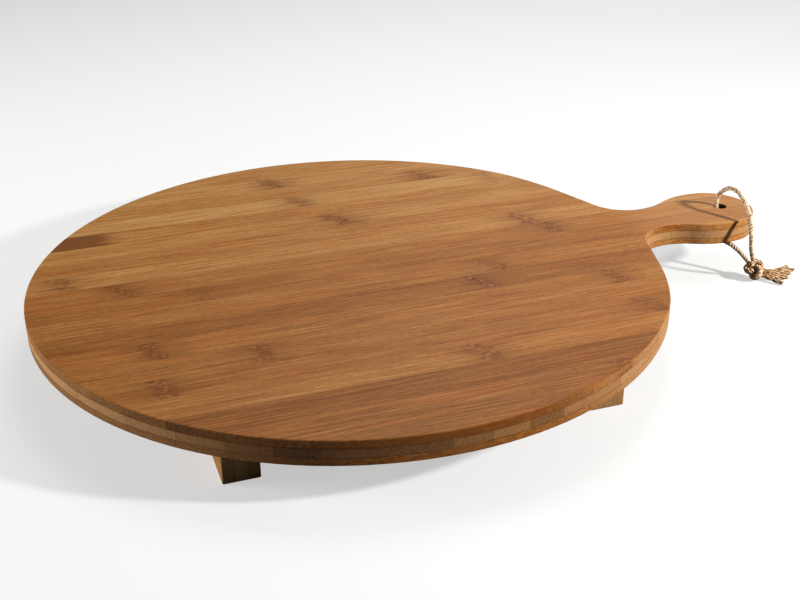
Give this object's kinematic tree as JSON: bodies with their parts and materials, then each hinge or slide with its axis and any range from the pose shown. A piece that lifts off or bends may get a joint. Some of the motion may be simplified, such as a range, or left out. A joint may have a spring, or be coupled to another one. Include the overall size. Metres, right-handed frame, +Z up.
{
  "type": "round serving board with handle",
  "caption": "Round laminated bamboo serving board on two battens, with a short pear-shaped handle and a knotted rope loop through it.",
  "frame": {"origin": "middle of the board's outline, without its rope, on the surface that it stands on", "axes": "+X along the grain from the round area towards the handle, +Z up out of the serving face, +Y to the left of the handle seen from above"},
  "size_m": [0.5143, 0.4, 0.0582],
  "materials": {
    "top_ply": "oiled carbonised bamboo, light satin",
    "core_ply": "bamboo end grain, sanded and oiled",
    "bottom_ply": "oiled carbonised bamboo, light satin",
    "batten": "laminated bamboo, sanded and oiled",
    "rope": "three-strand natural fibre cord, matt"
  },
  "bodies": {
    "root": {"top_strip_1": "top_ply", "top_strip_2": "top_ply", "top_strip_3": "top_ply", "top_strip_4": "top_ply", "top_strip_5": "top_ply", "top_strip_6": "top_ply", "top_strip_7": "top_ply", "top_strip_8": "top_ply", "top_strip_9": "top_ply", "top_strip_10": "top_ply", "top_strip_11": "top_ply", "top_strip_12": "top_ply", "top_strip_13": "top_ply", "top_strip_14": "top_ply", "top_strip_15": "top_ply", "top_strip_16": "top_ply", "top_strip_17": "top_ply", "top_strip_18": "top_ply", "top_strip_19": "top_ply", "top_strip_20": "top_ply", "top_bulb_front": "top_ply", "top_bulb_back": "top_ply", "core_strip_1": "core_ply", "core_strip_2": "core_ply", "core_strip_3": "core_ply", "core_strip_4": "core_ply", "core_strip_5": "core_ply", "core_strip_6": "core_ply", "core_strip_7": "core_ply", "core_strip_8": "core_ply", "core_strip_9": "core_ply", "core_strip_10": "core_ply", "core_strip_11": "core_ply", "core_strip_12": "core_ply", "core_strip_13": "core_ply", "core_strip_14": "core_ply", "core_strip_15": "core_ply", "core_strip_16": "core_ply", "core_strip_17": "core_ply", "core_strip_18": "core_ply", "core_strip_19": "core_ply", "core_strip_20": "core_ply", "core_strip_21": "core_ply", "core_strip_22": "core_ply", "core_strip_23": "core_ply", "core_strip_24": "core_ply", "bottom_strips_1": "bottom_ply", "bottom_strips_2": "bottom_ply", "bottom_strips_3": "bottom_ply", "bottom_strips_4": "bottom_ply", "left_batten_slat_1": "batten", "left_batten_slat_2": "batten", "left_batten_slat_3": "batten", "right_batten_slat_1": "batten", "right_batten_slat_2": "batten", "right_batten_slat_3": "batten", "rope_over": "rope", "rope_under": "rope", "rope_knot": "rope", "rope_tails": "rope"}
  },
  "joints": []
}
